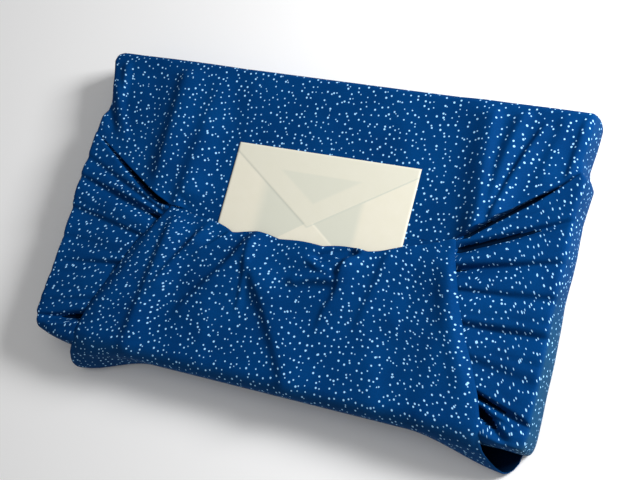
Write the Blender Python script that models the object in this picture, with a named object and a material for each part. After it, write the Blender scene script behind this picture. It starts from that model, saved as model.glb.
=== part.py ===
"""A flat parcel wrapped in one furoshiki cloth, with a card envelope tucked under the cloth's front flap.

The cloth is one solid. It runs under the parcel, up its four sides and over its top: a back flap comes
down from the far edge, gathered wings come in from both ends, and a front flap comes up from the near edge
and lies over both. What is wrapped doesn't show, so its room is left empty. Lengths are millimetres, and
become metres as a mesh is made.
"""

from collections import namedtuple

import bpy
import numpy as np

METRES = 0.001

# The wrapped parcel: a box with soft edges that stands on the middle of its underside
CLOTH = 1.6
HALF_LENGTH = 216.0
BACK_Y = 127.5
FRONT_Y = -131.0
TOP_Z = 35.5
EDGE_DROP = 8.0
SIDE_ROUND = 6.0
BACK_ROUND = 6.0
FRONT_ROUND = 11.0
FRONT_LINE = FRONT_Y + FRONT_ROUND
EDGE_ANGLES = np.radians([30.0, 60.0, 90.0])
WALL_LEVELS = [(0.3, 1.4), (0.65, 1.4), (0.94, 0.4), (1.0, -2.4)]
GAP = 0.45

# How far the cloth really reaches at the two ends, at the back edge and at the near edge
Reach = namedtuple("Reach", "along out")
LEFT_END = [
    Reach(-131, -218), Reach(-117, -222), Reach(-90, -220), Reach(-48, -217.5), Reach(5, -219),
    Reach(30, -216.5), Reach(66, -215.5), Reach(73, -212), Reach(88, -212), Reach(104, -216),
    Reach(124, -220),
]
RIGHT_END = [
    Reach(-131, 216.5), Reach(-60, 216.5), Reach(-20, 215), Reach(20, 216), Reach(45, 215),
    Reach(73, 217.5), Reach(79, 213), Reach(88, 211.5), Reach(108, 213.5), Reach(124, 214),
]
BACK_EDGE = [Reach(-216, 129), Reach(-60, 128.2), Reach(40, 127.3), Reach(216, 125.8)]
NEAR_EDGE = [
    Reach(-216, -126.5), Reach(-203, -130), Reach(-188, -133), Reach(-174, -134), Reach(-150, -132),
    Reach(216, -131),
]

# The knots are the two points where the flaps and the wings are pinched together
Knot = namedtuple("Knot", "x y")
LEFT_KNOT = Knot(-118.0, -3.0)
RIGHT_KNOT = Knot(129.0, 11.0)

# The wings lie over the parcel's ends, and this is how far their layers lift the cloth
WING_LIFT = 2.2
WING_MIDDLE = 5.5
WING_STARTS = 92.0
WING_FULL = 127.0

# Each gather of a wing runs from the knot's column to the parcel's end. The first row is the edge of the
# back flap, and the last one is the near edge, where the wing turns down.
Gather = namedtuple("Gather", "knot_y end_y knot_depth end_depth half_width")
LEFT_GATHERS = [
    Gather(-3.0, 52.0, 0.0, 0.0, 4.0),
    Gather(-16.6, 8.5, 4.6, 1.4, 4.4),
    Gather(-38.0, -20.0, 2.2, 1.8, 5.4),
    Gather(-56.0, -69.0, 4.0, 0.8, 4.0),
    Gather(-84.5, -105.0, 2.6, 1.2, 4.4),
    Gather(-97.5, -117.5, 5.4, 3.0, 3.2),
    Gather(FRONT_LINE, FRONT_LINE, 0.0, 0.0, 4.0),
]
RIGHT_GATHERS = [
    Gather(11.0, 80.5, 0.0, 0.0, 4.0),
    Gather(7.0, 59.0, 0.4, 1.2, 3.4),
    Gather(2.5, 41.0, 5.0, 2.4, 3.8),
    Gather(-12.5, 7.5, 4.4, 1.6, 3.8),
    Gather(-28.0, -20.0, 1.8, 1.4, 4.0),
    Gather(-54.0, -50.0, 2.8, 1.8, 4.8),
    Gather(-72.0, -85.0, 2.2, 1.0, 5.0),
    Gather(-85.6, -108.0, 5.6, 2.2, 3.4),
    Gather(-104.0, -115.5, 4.4, 1.8, 3.4),
    Gather(FRONT_LINE, FRONT_LINE, 0.0, 0.0, 4.0),
]
GATHER_CROWN = 1.5
WING_BLEND = 0.12
ROW_SPACING = 0.028

# The back flap's folded lower edge stands over the wings beside each knot, and the wing sinks beside it
Tuck = namedtuple("Tuck", "knot_x full_x fade_x end_x lip dip")
TUCKS = [Tuck(-118.0, -134.0, -160.0, -206.0, 2.6, 2.4), Tuck(129.0, 147.0, 173.0, 212.0, 2.9, 2.6)]
TUCK_HALF = 0.7
LIP_REACH = 15.0
DIP_REACH = 4.5
BACK_FADE = (BACK_Y - 16.0, BACK_Y - 4.0)

# Folds: a ridge has a positive height and a trough a negative one, and bow is how far the line bends aside
Fold = namedtuple("Fold", "x0 y0 x1 y1 bow width0 width1 height0 height1")
BACK_FOLDS = [
    Fold(-144, 112, -141, 36, 0, 5.0, 4.5, -1.8, -2.8),
    Fold(-131, 108, -133, 22, 2, 7.0, 6.5, 1.4, 2.6),
    Fold(-113, 76, -117, 2, 0, 5.5, 5.0, -1.2, -2.4),
    Fold(-98, 60, -103, -4, 0, 6.0, 6.0, 0.9, 2.2),
    Fold(-204, 116, -198, 88, 0, 4.0, 4.0, 2.2, 1.8),
    Fold(-210, 90, -190, 60, 0, 5.0, 5.0, -2.0, -1.4),
    Fold(127, 114, 139, 24, 3, 6.0, 5.0, -0.9, -2.8),
    Fold(141, 108, 143, 40, 0, 5.0, 4.0, 1.2, 1.6),
    Fold(154, 114, 144, 28, 0, 4.5, 4.0, -1.6, -2.2),
    Fold(164, 108, 151, 38, 2, 4.0, 3.2, 1.4, 2.4),
    Fold(172, 104, 154, 44, 2, 3.4, 3.0, -1.2, -3.2),
    Fold(187, 112, 183, 80, 0, 4.5, 4.5, -1.4, -0.9),
    Fold(211, 112, 200, 71, -4, 2.8, 2.8, 1.7, 1.8),
    Fold(204, 104, 193, 70, -2, 4.0, 4.0, -1.5, -1.4),
]
FRONT_FOLDS = [
    Fold(-118, -22, -121, -104, 0, 5.0, 5.5, -2.4, -1.2),
    Fold(-84, -25, -112, -70, 3, 4.0, 4.5, -2.6, -1.2),
    Fold(-37, -16, -80, -70, -4, 3.8, 4.6, -3.2, -1.2),
    Fold(-36, -38, -34, -78, 0, 3.0, 3.0, -1.2, -0.6),
    Fold(-21, -52, 20, -122, 2, 5.0, 5.0, -1.6, -1.4),
    Fold(8, -70, 18, -100, 0, 7.0, 7.0, 1.5, 0.8),
    Fold(26, -22, 54, -14, 1, 2.8, 2.6, -3.2, -2.2),
    Fold(26, -32, 42, -33, -4, 3.4, 3.4, 2.2, 2.2),
    Fold(14, -48, 42, -43, 1, 4.0, 4.0, -1.4, -2.2),
    Fold(46, -20, 43, -64, 3, 2.8, 3.4, -3.4, -1.4),
    Fold(58, -24, 60, -66, 0, 6.0, 7.0, 1.6, 1.0),
    Fold(73, -24, 78, -62, 0, 5.0, 6.0, -1.1, -0.8),
    Fold(128, -8, 152, -78, -3, 4.0, 4.0, -2.2, -1.4),
]

# The front flap's hem over the envelope: each scallop starts at a low point and rises by its rise
Scallop = namedtuple("Scallop", "x y rise")
HEM = [
    Scallop(-118.0, -3.0, -0.5),
    Scallop(-73.0, -9.5, 0.8),
    Scallop(-54.0, -16.0, 3.4),
    Scallop(-12.0, -14.2, 1.2),
    Scallop(27.0, -13.6, 2.2),
    Scallop(65.0, -11.4, -0.6),
    Scallop(91.0, -2.5, -0.6),
    Scallop(129.0, 11.0, 0.0),
]

# The front flap's slanting sides on the parcel's top, from the near edge up to the knots
Side = namedtuple("Side", "y left_x right_x")
FLAP_SIDES = [
    Side(-121.0, -174.5, 181.5),
    Side(-100.0, -168.5, 174.5),
    Side(-80.0, -160.0, 165.5),
    Side(-60.0, -151.0, 155.0),
    Side(-40.0, -141.5, 146.5),
    Side(-20.0, -128.5, 139.0),
    Side(-3.0, -118.0, 132.0),
    Side(11.0, -111.0, 129.0),
]
FLAP_TURN_Y = -121.0
FLAP_TURN_REACH = 12.9
FLAP_TURN_DROP = 12.0
FLAP_TURN_ANGLES = np.radians([90.0, 68.0, 46.0, 24.0])
FLAP_ROWS_ON_TOP = 16
FLAP_LOFT = 1.3
FLAP_EDGE = 0.35

# Below its turn the front flap hangs in front of the near wall. Its corners flare out, and under them it
# runs back to its root in the cloth's near lower edge. Out is how far a level lies from the turn's middle,
# and share is how much of the flare it has.
Level = namedtuple("Level", "z out left_x right_x share")
FLAP_LEVELS = [
    Level(1.2, 11.8, -190.0, 207.0, 0.4),
    Level(3.2, 12.7, -182.0, 201.0, 0.93),
    Level(7.5, 12.9, -183.5, 198.0, 1.0),
    Level(14.5, 12.9, -184.0, 193.5, 0.88),
    Level(21.0, 12.9, -183.0, 189.5, 0.68),
]
FLAP_TURN_LEVEL = Level(27.0, 12.9, -181.0, 186.5, 0.45)
FLARE_LEFT = (112.0, 183.0, 17.0)
FLARE_RIGHT = (118.0, 206.0, 15.0)
FLAP_ROOT = (-203.0, 209.0)

# The envelope has the common size that takes a folded A6 card
ENVELOPE_WIDTH = 162.0
ENVELOPE_HEIGHT = 114.0
ENVELOPE_X = 9.0
ENVELOPE_TOP_Y = 62.0
ENVELOPE_BODY = 1.0
ENVELOPE_FLAP = 0.35
ENVELOPE_TIP_Y = 1.0
ENVELOPE_CORNER = 1.5

# The room inside ends a little short of the parcel's two ends, where the wings are folded in layers
ROOM_HALF_LENGTH = 211.0

# The hidden mouth under the front flap, where the back flap ends, which leads to the room
MOUTH_X = (-74.0, 80.0)
MOUTH_Y = (-106.0, -64.0)

CLOTH_COLOUR = (0.004, 0.095, 0.33, 1.0)
PAPER_COLOUR = (0.86, 0.85, 0.74, 1.0)


def smooth(value, start, end):
    """0 before start and 1 after end, with a smooth climb between them."""
    share = np.clip((value - start) / (end - start), 0.0, 1.0)
    return share * share * (3.0 - 2.0 * share)


def bell(distance, width):
    """1 on a line, falling to nothing a few widths away."""
    return np.exp(-((distance / width) ** 2))


def read_off(value, table, key, column):
    """Reads a column of a table at a value of its key column, which rises down the table."""
    return np.interp(value, [getattr(row, key) for row in table], [getattr(row, column) for row in table])


def fold_height(x, y, fold):
    """A bell across the fold's bowed line, whose width and height change evenly along it."""
    run_x, run_y = fold.x1 - fold.x0, fold.y1 - fold.y0
    length = np.hypot(run_x, run_y)
    along = ((x - fold.x0) * run_x + (y - fold.y0) * run_y) / length**2
    share = np.clip(along, 0.0, 1.0)
    across = ((y - fold.y0) * run_x - (x - fold.x0) * run_y) / length
    across = across - fold.bow * 4.0 * share * (1.0 - share)
    width = fold.width0 + (fold.width1 - fold.width0) * share
    height = fold.height0 + (fold.height1 - fold.height0) * share
    return height * bell(across, width) * bell((along - share) * length, 2.0 * width)


def wing_shares(x):
    """How far x lies along each wing: 0 at the knot's column and 1 at the parcel's end."""
    left = np.clip((LEFT_KNOT.x - x) / (LEFT_KNOT.x + HALF_LENGTH), 0.0, 1.0)
    right = np.clip((x - RIGHT_KNOT.x) / (HALF_LENGTH - RIGHT_KNOT.x), 0.0, 1.0)
    return left, right


def row_line(x, share):
    """The y of a row that follows the gathers, from the back flap's edge at 0 to the near edge at 1."""
    ends = []
    for gathers in (LEFT_GATHERS, RIGHT_GATHERS):
        knot = gathers[0].knot_y + share * (FRONT_LINE - gathers[0].knot_y)
        ends.append((knot, read_off(knot, gathers[::-1], "knot_y", "end_y")))
    (left_knot, left_end), (right_knot, right_end) = ends
    left, right = wing_shares(x)
    across = np.clip((x - LEFT_KNOT.x) / (RIGHT_KNOT.x - LEFT_KNOT.x), 0.0, 1.0)
    middle = left_knot + (right_knot - left_knot) * across
    return middle + left * (left_end - left_knot) + right * (right_end - right_knot)


def gather_height(x, y):
    """The wings' gathers: a soft crown, with a trough sunk along each gather's line."""
    height = np.zeros_like(x)
    for share, gathers in zip(wing_shares(x), (LEFT_GATHERS, RIGHT_GATHERS)):
        on_wing = smooth(share, 0.0, WING_BLEND)
        height = height + GATHER_CROWN * on_wing
        for gather in gathers:
            line = gather.knot_y + share * (gather.end_y - gather.knot_y)
            depth = gather.knot_depth + share * (gather.end_depth - gather.knot_depth)
            height = height - depth * on_wing * bell(y - line, gather.half_width)
    return height


def under_flap(x, y):
    """1 well under the front flap and 0 outside it."""
    left, right = read_off(y, FLAP_SIDES, "y", "left_x"), read_off(y, FLAP_SIDES, "y", "right_x")
    inside = np.minimum(np.minimum(x - left, right - x), row_line(x, 0.0) - y)
    return smooth(inside, -3.0, 9.0)


def wing_lift(x):
    """How much of the wings' bulk lies under the cloth at x, 0 to 1."""
    return smooth(np.abs(x - WING_MIDDLE), WING_STARTS, WING_FULL)


def tuck_steps(x):
    """How far the back flap's edge stands up at x, and how far the wing beside it sinks."""
    lip, dip = np.zeros_like(x), np.zeros_like(x)
    for tuck in TUCKS:
        way = np.sign(tuck.knot_x)
        strength = smooth(x * way, tuck.knot_x * way - 4.0, tuck.full_x * way)
        strength = strength * (1.0 - smooth(x * way, tuck.fade_x * way, tuck.end_x * way))
        lip, dip = lip + tuck.lip * strength, dip + tuck.dip * strength
    return lip, dip


def body_height(x, y):
    """The wrapped parcel's top surface, before its edges are rounded."""
    above = y - row_line(x, 0.0)
    lip, dip = tuck_steps(x)
    wings = WING_LIFT * wing_lift(x)
    relief = lip * np.exp(-np.clip(above, 0.0, None) / LIP_REACH)
    for fold in BACK_FOLDS:
        relief = relief + fold_height(x, y, fold)
    back = wings + relief * (1.0 - smooth(y, *BACK_FADE))
    relief = gather_height(x, y) - dip * np.exp(np.clip(above, None, 0.0) / DIP_REACH)
    front = wings + relief * (1.0 - under_flap(x, y))
    return TOP_Z + np.clip(front + (back - front) * smooth(above, -TUCK_HALF, TUCK_HALF), 0.0, None)


def hem_line(x):
    """The hem's y: straight from one low point to the next, plus half a sine wave for each scallop."""
    line = read_off(x, HEM, "x", "y")
    for scallop, following in zip(HEM, HEM[1:]):
        share = np.clip((x - scallop.x) / (following.x - scallop.x), 0.0, 1.0)
        line = line + scallop.rise * np.sin(np.pi * share)
    return line


def flap_height(x, y):
    """The middle of the front flap's cloth where it lies on the parcel's top."""
    left, right = read_off(y, FLAP_SIDES, "y", "left_x"), read_off(y, FLAP_SIDES, "y", "right_x")
    over_wings = (WING_LIFT + GATHER_CROWN + 0.2) * wing_lift(x)
    off_sides = np.abs(x - ENVELOPE_X) - ENVELOPE_WIDTH / 2.0
    off_envelope = np.maximum(off_sides, ENVELOPE_TOP_Y - ENVELOPE_HEIGHT - y)
    over_envelope = (GAP + ENVELOPE_BODY + ENVELOPE_FLAP) * (1.0 - smooth(off_envelope, 2.0, 22.0))
    to_edge = smooth(np.minimum(x - left, right - x), 0.0, 16.0)
    to_hem = FLAP_EDGE + (1.0 - FLAP_EDGE) * smooth(hem_line(x) - y, 0.0, 18.0)
    loft = FLAP_LOFT * to_edge * to_hem
    for fold in FRONT_FOLDS:
        loft = loft + fold_height(x, y, fold)
    return TOP_Z + GAP + CLOTH / 2.0 + np.maximum(over_wings, over_envelope) + np.clip(loft, 0.0, None)


def flare(x):
    """How far the front flap's two corners stand out at x."""
    left = FLARE_LEFT[2] * smooth(-x, FLARE_LEFT[0], FLARE_LEFT[1])
    return left + FLARE_RIGHT[2] * smooth(x, FLARE_RIGHT[0], FLARE_RIGHT[1])


def mesh_object(name, points, faces):
    """A new object from points in millimetres."""
    mesh = bpy.data.meshes.new(name)
    mesh.from_pydata((np.asarray(points) * METRES).tolist(), [], faces)
    thing = bpy.data.objects.new(name, mesh)
    bpy.context.scene.collection.objects.link(thing)
    return thing


def grid_faces(index, hole=None):
    """Quads over a grid of point indices, listed row by row, without the block of cells in the hole."""
    quads = np.stack([index[:-1, :-1], index[:-1, 1:], index[1:, 1:], index[1:, :-1]], axis=2)
    kept = np.ones(quads.shape[:2], dtype=bool)
    if hole:
        kept[hole] = False
    return quads[kept].tolist()


def loop_of(index):
    """The outer points of a grid of indices, in order round it from its first one."""
    return np.concatenate([index[0, :-1], index[:-1, -1], index[-1, :0:-1], index[:0:-1, 0]])


def band_faces(upper, lower, closed=True):
    """Quads between two lines of points that run anticlockwise, seen from the upper one."""
    quads = np.stack([np.roll(upper, -1), upper, lower, np.roll(lower, -1)], axis=1)
    return (quads if closed else quads[:-1]).tolist()


def turned(faces):
    """The same faces, looking the other way."""
    return [face[::-1] for face in faces]


def over_edge(half, rounding, inset):
    """Where grid lines cross a rounded edge."""
    return half - rounding + (rounding - inset) * np.sin(EDGE_ANGLES)


def rounded_plan(x, y, inset):
    """Turns the plan's corners round, and gives how far over the edge each point is, from 0 to 1."""
    side = SIDE_ROUND - inset
    end = np.where(y > 0.0, BACK_Y, -FRONT_Y) - inset
    rounding = np.where(y > 0.0, BACK_ROUND, FRONT_ROUND) - inset
    over_x = np.clip((np.abs(x) - (HALF_LENGTH - inset - side)) / side, 0.0, 1.0)
    over_y = np.clip((np.abs(y) - (end - rounding)) / rounding, 0.0, 1.0)
    new_x = x + np.sign(x) * side * over_x * (np.sqrt(1.0 - over_y**2 / 2.0) - 1.0)
    new_y = y + np.sign(y) * rounding * over_y * (np.sqrt(1.0 - over_x**2 / 2.0) - 1.0)
    return new_x, new_y, np.sqrt(np.clip(over_x**2 + over_y**2 - (over_x * over_y) ** 2, 0.0, 1.0))


def to_reach(x, y):
    """Stretches the plain box's plan to the uneven reach of the real cloth."""
    left, right = read_off(y, LEFT_END, "along", "out"), read_off(y, RIGHT_END, "along", "out")
    end = np.where(x < 0.0, left + HALF_LENGTH, right - HALF_LENGTH)
    near = smooth(-y, 60.0, -FRONT_Y) * (read_off(x, NEAR_EDGE, "along", "out") - FRONT_Y)
    back = smooth(y, 60.0, BACK_Y) * (read_off(x, BACK_EDGE, "along", "out") - BACK_Y)
    return x + smooth(np.abs(x), 150.0, HALF_LENGTH) * end, y + near + back


def parcel_points(columns, rows, height, inset):
    """A grid for a parcel's top and rounded edges, a ring for each wall level, and one last point below."""
    x, y = np.broadcast_to(columns, rows.shape), rows
    new_x, new_y, over = rounded_plan(x, y, inset)
    new_x, new_y = to_reach(new_x, new_y)
    z = height(new_x, new_y) - (EDGE_DROP - inset) * (1.0 - np.sqrt(np.clip(1.0 - over**2, 0.0, 1.0)))
    top = np.stack([new_x, new_y, z], axis=2).reshape(-1, 3)
    rim = top[loop_of(np.arange(y.size).reshape(y.shape))]
    along = np.roll(rim, -1, axis=0) - np.roll(rim, 1, axis=0)
    outward = np.stack([-along[:, 1], along[:, 0]], axis=1)
    outward = outward / np.linalg.norm(outward, axis=1, keepdims=True)
    points = [top]
    for share, out in WALL_LEVELS:
        ring = rim.copy()
        ring[:, :2] += outward * out
        ring[:, 2] = inset + (rim[:, 2] - inset) * (1.0 - share)
        points.append(ring)
    points.append(np.array([[0.0, 0.0, inset]]))
    return np.concatenate(points)


def parcel_faces(index, loops, centre, hole):
    """A parcel's faces, looking out: its top without the hole, its walls, and a fan underneath."""
    faces = turned(grid_faces(index, hole))
    for upper, lower in zip(loops, loops[1:]):
        faces += band_faces(upper[::-1], lower[::-1])
    last = loops[-1]
    return faces + [[a, b, centre] for a, b in zip(last.tolist(), np.roll(last, -1).tolist())]


def body_columns():
    """The columns' x, close together where the cloth is folded."""
    left = [-209, -203, -193, -181, -168, -157, -150, -144, -139, -133, -126, -118, -111, -103, -94, -84]
    middle = [-74, -62, -52, -44, -36, -28, -18, -6, 6, 16, 24, 30, 36, 41, 46, 51, 58, 68, 80]
    right = [92, 103, 113, 121, 129, 136, 142, 148, 154, 161, 169, 178, 188, 198, 209]
    edge = over_edge(HALF_LENGTH, SIDE_ROUND, 0.0)
    return np.concatenate([-edge[::-1], left, middle, right, edge])


def gather_rows():
    """The rows' shares from back to front: one in each gather's trough and one between two."""
    shares = set()
    for gathers in (LEFT_GATHERS, RIGHT_GATHERS):
        start = gathers[0].knot_y
        troughs = [(gather.knot_y - start) / (FRONT_LINE - start) for gather in gathers]
        shares.update(troughs)
        shares.update((a + b) / 2.0 for a, b in zip(troughs, troughs[1:]))
    kept = [0.0]
    for share in sorted(shares):
        if share - kept[-1] > ROW_SPACING:
            kept.append(share)
    return kept[1:-1] + [1.0]


def body_rows(columns, inset, step=1):
    """The rows' y on each column, from the back edge to the near edge. A step keeps only some on top."""
    tuck = row_line(columns, 0.0)
    back_start = BACK_Y - BACK_ROUND
    rows = []
    for share in (1.0, 0.88, 0.76, 0.64, 0.52, 0.4, 0.29, 0.19, 0.09):
        rows.append(tuck + TUCK_HALF + (back_start - tuck - TUCK_HALF) * share)
    rows += [tuck + TUCK_HALF, tuck - TUCK_HALF]
    rows += [row_line(columns, share) for share in gather_rows()]
    middle = columns.size // 2
    kept = [rows[0]]
    for number, row in enumerate(rows[1:-1], start=1):
        if number % step == 0 or MOUTH_Y[0] < row[middle] < MOUTH_Y[1]:
            kept.append(row)
    kept.append(rows[-1])
    back = [np.full_like(columns, y) for y in over_edge(BACK_Y, BACK_ROUND, inset)[::-1]]
    near = [np.full_like(columns, -y) for y in over_edge(-FRONT_Y, FRONT_ROUND, inset)]
    return np.array(back + kept + near)


def room_columns():
    """The room's columns: all of the mouth's, and a few on each side of it."""
    columns = body_columns()
    mouth = columns[(columns >= MOUTH_X[0]) & (columns <= MOUTH_X[1])]
    sides = [-ROOM_HALF_LENGTH, -190.0, -165.0, -140.0, -115.0, -94.0]
    return np.concatenate([sides, mouth, [-x for x in sides[::-1]]])


def mouth_cells(columns, rows):
    """The block of a grid's cells that the mouth leaves out."""
    across = np.flatnonzero((columns >= MOUTH_X[0]) & (columns <= MOUTH_X[1]))
    middle = rows[:, columns.size // 2]
    down = np.flatnonzero((middle >= MOUTH_Y[0]) & (middle <= MOUTH_Y[1]))
    return slice(down[0], down[-1]), slice(across[0], across[-1])


def indices(columns, rows, start):
    """Where a parcel's points lie in its mesh: its top grid, its loops down to the foot, and its last."""
    index = start + np.arange(rows.size).reshape(rows.shape)
    loops = [loop_of(index)]
    for number in range(len(WALL_LEVELS)):
        loops.append(start + rows.size + number * loops[0].size + np.arange(loops[0].size))
    return index, loops, int(loops[-1][-1]) + 1


def flap_middle(shares, root):
    """The middle of the front flap's cloth: rows from its root, up before the near wall and to its hem."""
    rows = [root.T]
    for level in FLAP_LEVELS:
        x = level.left_x + (level.right_x - level.left_x) * shares
        rows.append([x, FLAP_TURN_Y - level.out - level.share * flare(x), np.full_like(x, level.z)])
    top, low = FLAP_SIDES[0], FLAP_TURN_LEVEL
    for angle in FLAP_TURN_ANGLES:
        down = 1.0 - np.cos(angle)
        left = top.left_x + (low.left_x - top.left_x) * down
        right = top.right_x + (low.right_x - top.right_x) * down
        x = left + (right - left) * shares
        y = FLAP_TURN_Y - FLAP_TURN_REACH * np.sin(angle) - low.share * down * flare(x)
        rows.append([x, y, flap_height(x, np.full_like(x, FLAP_TURN_Y)) - FLAP_TURN_DROP * down])
    for share in np.linspace(0.0, 1.0, FLAP_ROWS_ON_TOP):
        left_y = top.y + share * (LEFT_KNOT.y - top.y)
        right_y = top.y + share * (RIGHT_KNOT.y - top.y)
        left = read_off(left_y, FLAP_SIDES, "y", "left_x")
        right = read_off(right_y, FLAP_SIDES, "y", "right_x")
        x = left + (right - left) * shares
        y = top.y + share * (hem_line(x) - top.y)
        rows.append([x, y, flap_height(x, y)])
    return np.array(rows).transpose(0, 2, 1)


def front_flap(columns, foot, points, start):
    """The front flap's points and faces. Its root is the strip between the near wall's two lowest lines."""
    upper, lower = foot
    shares = (columns - columns[0]) / (columns[-1] - columns[0])
    middle = flap_middle(shares, (points[upper] + points[lower]) / 2.0)
    normal = np.cross(np.gradient(middle, axis=1), np.gradient(middle, axis=0))
    normal = normal / np.linalg.norm(normal, axis=2, keepdims=True)
    outer, inner = (middle + normal * CLOTH / 2.0)[1:], (middle - normal * CLOTH / 2.0)[1:]
    new = start + np.arange(outer.shape[0] * outer.shape[1]).reshape(outer.shape[:2])
    outer_index = np.concatenate([[lower], new])
    inner_index = np.concatenate([[upper], new + new.size])
    faces = grid_faces(outer_index) + turned(grid_faces(inner_index))
    edge, inside = loop_of(outer_index), loop_of(inner_index)
    root = len(lower) - 1
    faces += band_faces(np.roll(edge, -root), np.roll(inside, -root), closed=False)[: len(edge) - root]
    return np.concatenate([outer.reshape(-1, 3), inner.reshape(-1, 3)]), faces


def prism(name, outline, low, high):
    """An upright prism over an outline that runs anticlockwise."""
    count = len(outline)
    points = [(x, y, low) for x, y in outline] + [(x, y, high) for x, y in outline]
    lower = np.arange(count)
    faces = band_faces(lower + count, lower)
    faces += [lower[::-1].tolist(), (lower + count).tolist()]
    return mesh_object(name, points, faces)


def combine(target, tool, operation):
    """Adds a Boolean to the target and keeps its tool out of the model."""
    modifier = target.modifiers.new(tool.name, "BOOLEAN")
    modifier.operation = operation
    modifier.solver = "EXACT"
    modifier.object = tool
    tool.hide_render = True
    tool.display_type = "WIRE"


def material(name, colour, roughness):
    """A Principled material with one colour."""
    finish = bpy.data.materials.new(name)
    finish.use_nodes = True
    shader = finish.node_tree.nodes["Principled BSDF"]
    shader.inputs["Base Color"].default_value = colour
    shader.inputs["Roughness"].default_value = roughness
    return finish


def wrap_cloth():
    """The cloth in one piece: the parcel's outside, the room inside it, the mouth and the front flap."""
    columns, inner_columns = body_columns(), room_columns()
    rows, inner_rows = body_rows(columns, 0.0), body_rows(inner_columns, CLOTH, step=4)
    points = parcel_points(columns, rows, body_height, 0.0)
    inside = parcel_points(inner_columns, inner_rows, lambda x, y: np.full_like(x, TOP_Z - CLOTH), CLOTH)
    index, loops, centre = indices(columns, rows, 0)
    room_index, room_loops, room_centre = indices(inner_columns, inner_rows, len(points))
    hole, room_hole = mouth_cells(columns, rows), mouth_cells(inner_columns, inner_rows)
    faces = parcel_faces(index, loops, centre, hole)
    faces += turned(parcel_faces(room_index, room_loops, room_centre, room_hole))
    mouth = [loop_of(grid[cells[0].start:cells[0].stop + 1, cells[1].start:cells[1].stop + 1])
             for grid, cells in ((index, hole), (room_index, room_hole))]
    faces += band_faces(*mouth)

    rooted = np.flatnonzero((columns >= FLAP_ROOT[0]) & (columns <= FLAP_ROOT[1]))
    near_right = (columns.size - 1) + (rows.shape[0] - 1)
    places = near_right + (columns.size - 1) - rooted
    foot = [loop[places] for loop in loops[-2:]]
    strip = {frozenset(quad) for quad in band_faces(foot[0], foot[1], closed=False)}
    faces = [face for face in faces if frozenset(face) not in strip]
    flap_points, flap_faces = front_flap(columns[rooted], foot, points, len(points) + len(inside))
    cloth = mesh_object("wrap_cloth", np.concatenate([points, inside, flap_points]), faces + flap_faces)
    cloth.data.materials.append(material("blue jersey", CLOTH_COLOUR, 0.8))
    return cloth


def card_envelope():
    """The envelope that lies on the back flap, its lower half in the front flap's pocket."""
    left, right = ENVELOPE_X - ENVELOPE_WIDTH / 2.0, ENVELOPE_X + ENVELOPE_WIDTH / 2.0
    top, bottom = ENVELOPE_TOP_Y, ENVELOPE_TOP_Y - ENVELOPE_HEIGHT
    corner = ENVELOPE_CORNER
    outline = [(left + corner, bottom), (right - corner, bottom), (right, bottom + corner),
               (right, top - corner), (right - corner, top), (left + corner, top), (left, top - corner),
               (left, bottom + corner)]
    floor = TOP_Z + GAP
    envelope = prism("card_envelope", outline, floor, floor + ENVELOPE_BODY)
    tip = [(left + 2.0 * corner, top - corner), (ENVELOPE_X - corner, ENVELOPE_TIP_Y),
           (ENVELOPE_X + corner, ENVELOPE_TIP_Y), (right - 2.0 * corner, top - corner)]
    lid = prism("envelope_flap", tip, floor + ENVELOPE_BODY / 2.0, floor + ENVELOPE_BODY + ENVELOPE_FLAP)
    combine(envelope, lid, "UNION")
    envelope.data.materials.append(material("cream paper", PAPER_COLOUR, 0.7))
    return envelope


for thing in list(bpy.data.objects):
    bpy.data.objects.remove(thing, do_unlink=True)
wrap_cloth()
card_envelope()
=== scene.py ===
# %% [markdown]
# # A parcel wrapped in a stretch furoshiki cloth
#
# The real object is a flat box wrapped in one square of blue jersey, printed with small pale dots. Two
# opposite sides of the cloth are gathered at two points, a back flap lies over the top, and a front flap
# comes up from the near edge and holds a cream envelope. This lesson makes the cloth and the envelope as
# surfaces worked out with numpy. Lengths are in millimetres until a mesh is made.

# %% The frame
from collections import namedtuple

import bpy
import numpy as np
from mathutils import Matrix, Vector


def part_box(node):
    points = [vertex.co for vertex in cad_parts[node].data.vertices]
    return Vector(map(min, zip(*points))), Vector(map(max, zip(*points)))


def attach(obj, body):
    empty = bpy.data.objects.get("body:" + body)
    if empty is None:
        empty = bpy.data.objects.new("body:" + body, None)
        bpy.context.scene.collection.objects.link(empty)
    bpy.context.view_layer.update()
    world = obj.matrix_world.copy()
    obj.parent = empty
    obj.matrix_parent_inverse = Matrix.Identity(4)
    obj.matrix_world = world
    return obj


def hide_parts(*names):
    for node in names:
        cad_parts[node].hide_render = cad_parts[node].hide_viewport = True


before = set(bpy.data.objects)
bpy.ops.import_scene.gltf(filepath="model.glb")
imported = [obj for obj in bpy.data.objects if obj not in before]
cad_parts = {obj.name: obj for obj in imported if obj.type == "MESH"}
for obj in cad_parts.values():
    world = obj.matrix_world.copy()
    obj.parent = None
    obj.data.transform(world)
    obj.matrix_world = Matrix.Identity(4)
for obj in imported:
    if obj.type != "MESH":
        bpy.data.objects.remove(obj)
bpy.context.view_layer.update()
MM = 0.001
cloth_low, cloth_high = (np.array(corner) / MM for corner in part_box("wrap_cloth"))
paper_low, paper_high = (np.array(corner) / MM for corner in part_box("card_envelope"))
print("cloth", cloth_low.round(1), cloth_high.round(1), "envelope", paper_low.round(1), paper_high.round(1))

# %% [markdown]
# ## The building blocks of every fold
#
# A fold in cloth could be sculpted or simulated. Here each one is a bell curve across a line, because a
# short table of lines can then be set against the real folds one by one. Everything works on whole arrays
# of x and y at once.

# %% Smooth steps and bells
def smooth(value, start, end):
    """s*s*(3 - 2s), where s runs from 0 at start to 1 at end."""
    share = np.clip((value - start) / (end - start), 0.0, 1.0)
    return share * share * (3.0 - 2.0 * share)


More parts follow.
